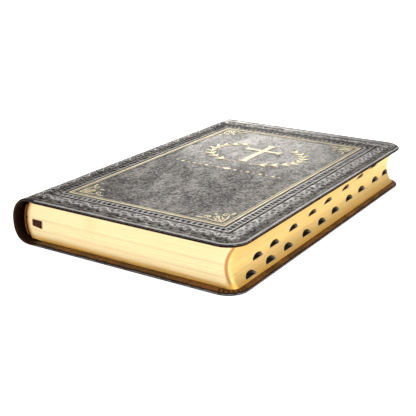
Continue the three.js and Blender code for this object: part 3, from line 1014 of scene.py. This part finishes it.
def make_foil():
    frame_parts = ring_line(*(FRAME_HALF + 0.45), 1.15) + ring_line(*(FRAME_HALF - 1.5), 0.35)
    foil_sheet("gold_frame_foil", moved(frame_parts, FRAME_CENTRE))
    corners = []
    inner = FRAME_HALF - 2.0
    for sx in (-1, 1):
        for sy in (-1, 1):
            shift = FRAME_CENTRE + np.array([sx, sy]) * inner
            corners += moved(corner_ornament(), shift, (-sx, -sy))
    foil_sheet("gold_corner_foil", corners)
    centre = FRAME_CENTRE[0]
    wreath = leafy_branch() + moved(leafy_branch(), flip=(-1, 1))
    foil_sheet("gold_wreath_foil", moved(wreath, (centre, WREATH_Y)))
    foil_sheet("gold_cross_foil", moved(cross_parts(), (centre, CROSS_Y)))
    foil_sheet("gold_divider_foil", moved(divider(), (centre, DIVIDER_Y)))


make_foil()


# ---------------------------------------------------------------- ribbon end


def make_ribbon_tail():
    """The ribbon's end: it bends over the edge of a leaf and hangs down, slightly cupped."""
    low, high = box_mm("ribbon_tail")
    rows, columns, thick = 26, 15, 0.14
    sides = []
    for layer in (0, 1):
        for i in range(rows):
            t = i / (rows - 1)
            for j in range(columns):
                u = j / (columns - 1)
                x = low[0] + u * (high[0] - low[0])
                length = (high[2] - low[2]) - 0.9 * (1 - u)
                drop = t * length
                curve = 0.10 * math.sin(math.pi * u) * t - 0.12 * math.sin(2.6 * t)
                y = high[1] - 0.03 + curve * 0.6 - layer * thick
                sides.append((x, min(y, high[1] + 0.02), high[2] - drop))
    per = rows * columns
    faces = [tuple(reversed(f)) for f in grid_faces(rows, columns)] + grid_faces(rows, columns, per)
    rim = [j for j in range(columns)] + [i * columns + columns - 1 for i in range(1, rows)]
    rim += [(rows - 1) * columns + j for j in range(columns - 2, -1, -1)]
    rim += [i * columns for i in range(rows - 2, 0, -1)]
    for k, a in enumerate(rim):
        b = rim[(k + 1) % len(rim)]
        faces.append((a, b, b + per, a + per))
    piece = add_mesh("ribbon_end", sides, faces, "ribbon_tail_body", [RIBBON])
    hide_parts("ribbon_tail")
    smooth_by_angle(piece)


make_ribbon_tail()


# ---------------------------------------------------------------- materials of the CAD nodes

SLOT_MATERIALS = {"gilt_pages": PAGES, "paper": ENDPAPER, "index_tabs": TAB, "ribbon": RIBBON, "board": BOARD,
                  "binding_cloth": CLOTH, "cover_leather": LEATHER}
for part in frame["record"]["subparts"]:
    node = frame["nodes"][part["node"]]
    material = SLOT_MATERIALS[part["material_slot"]]
    if part["node"].startswith("turning_leaf"):
        material = PAGES
    if part["node"].endswith("flyleaf"):
        material = FLYLEAF
    node.data.materials.clear()
    node.data.materials.append(material)


# ---------------------------------------------------------------- camera, floor and light


def make_camera():
    """Sees the book from beyond its tail and fore edge, a little above it."""
    azimuth, elevation, roll = math.radians(32.68), math.radians(19.41), math.radians(-0.25)
    back = np.array([math.sin(azimuth) * math.cos(elevation), -math.cos(azimuth) * math.cos(elevation),
                     math.sin(elevation)])
    right = np.cross(-back, (0, 0, 1))
    right /= np.linalg.norm(right)
    up = np.cross(right, -back)
    right, up = (math.cos(roll) * right + math.sin(roll) * up, -math.sin(roll) * right + math.cos(roll) * up)
    data = bpy.data.cameras.new("camera")
    data.lens, data.sensor_width = 75.5, 36
    data.clip_start, data.clip_end = 0.01, 50
    camera = bpy.data.objects.new("camera", data)
    matrix = np.eye(4)
    matrix[:3, 0], matrix[:3, 1], matrix[:3, 2] = right, up, back
    matrix[:3, 3] = np.array([264.25, -431.96, 179.39]) * MM
    camera.matrix_world = Matrix(matrix.tolist())
    bpy.context.collection.objects.link(camera)
    bpy.context.scene.camera = camera


def make_floor():
    n = Nodes("pale_floor")
    n.set(Base_Color=(0.93, 0.93, 0.93, 1), Roughness=0.9,
          Emission_Color=(1, 1, 1, 1), Emission_Strength=0.85)
    size = 20000
    points = [(-size, -size, -0.05), (size, -size, -0.05), (size, size, -0.05), (-size, size, -0.05)]
    mesh = bpy.data.meshes.new("floor")
    mesh.from_pydata((np.array(points) * MM).tolist(), [], [(0, 1, 2, 3)])
    mesh.materials.append(n.material)
    floor = bpy.data.objects.new("floor", mesh)
    bpy.context.collection.objects.link(floor)


def make_light(name, place, power, size, tall=None, color=(1, 1, 1), target=(0, 0, 0.01)):
    data = bpy.data.lights.new(name, "AREA")
    data.color = color
    data.shape = "RECTANGLE"
    data.energy, data.size, data.size_y = power, size, tall or size
    light = bpy.data.objects.new(name, data)
    light.location = place
    light.rotation_euler = (Vector(target) - Vector(place)).to_track_quat("-Z", "Y").to_euler()
    bpy.context.collection.objects.link(light)


WARM = (1, 0.965, 0.91)


def make_world():
    world = bpy.data.worlds.new("studio")
    world.use_nodes = True
    world.node_tree.nodes["Background"].inputs["Color"].default_value = (1, 1, 1, 1)
    world.node_tree.nodes["Background"].inputs["Strength"].default_value = 0.2
    bpy.context.scene.world = world
    bpy.context.scene.view_settings.view_transform = "Standard"


make_camera()
make_floor()
make_world()
make_light("back_panel", (-0.8, 1.2, 0.1), 4.6, 1.4, 0.15, WARM)
make_light("head_panel", (-0.8, 1.25, 0.14), 4.6, 0.5, 0.15, WARM)
make_light("top_softbox", (0.1, -0.1, 1.2), 6.0, 0.9)
make_light("tail_softbox", (-0.5, -0.8, 0.3), 1.6, 0.4)
make_light("fore_softbox", (0.9, -0.2, 0.4), 4.6, 0.6)
